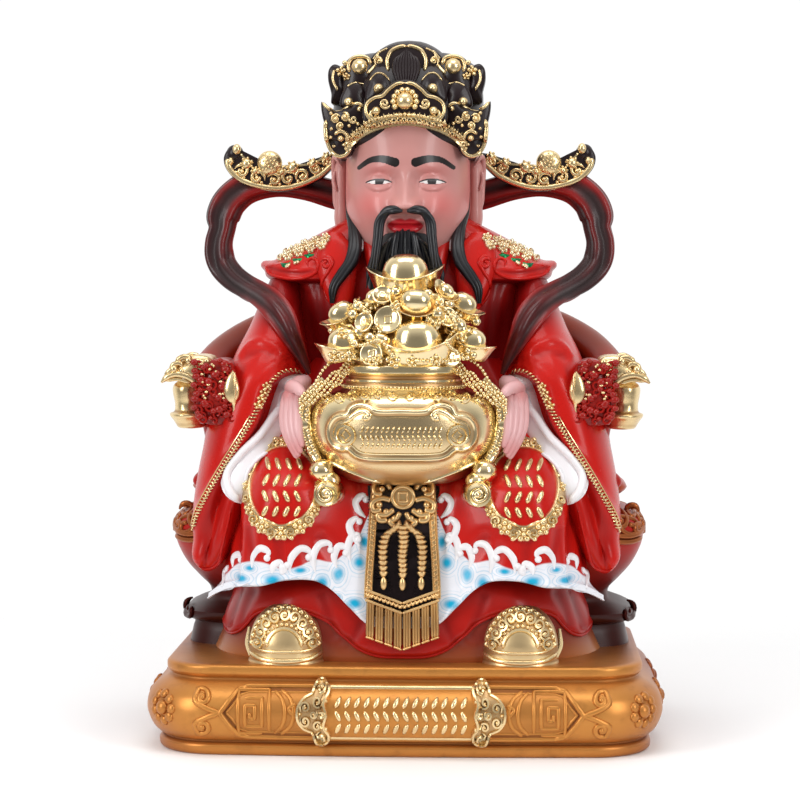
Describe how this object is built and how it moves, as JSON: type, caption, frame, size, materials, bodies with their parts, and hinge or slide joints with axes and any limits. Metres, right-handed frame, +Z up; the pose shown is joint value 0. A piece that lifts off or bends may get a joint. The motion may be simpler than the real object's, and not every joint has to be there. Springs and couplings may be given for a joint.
{
  "type": "seated god of wealth statue",
  "caption": "Robed, bearded god of wealth on a dragon armchair and moulded plinth, holding a bowl heaped with ingots; painted and gilded cast resin.",
  "frame": {"origin": "middle of the plinth's flat underside, on the surface it stands on", "axes": "+Z up, the figure faces -Y, +X to the right of a viewer in front of it"},
  "size_m": [0.296, 0.2144, 0.4095],
  "materials": {
    "red_lacquer": "gloss",
    "antique_gold": "satin",
    "gold_paint": "satin",
    "plated_gold": "polished",
    "throne_paint": "satin",
    "dark_lacquer": "gloss",
    "black_hair": "gloss",
    "skin_paint": "semi-gloss",
    "white_enamel": "gloss",
    "flower_paint": "gloss"
  },
  "bodies": {
    "root": {"statue_casting": "red_lacquer", "treasure_bowl": "plated_gold"}
  },
  "joints": []
}
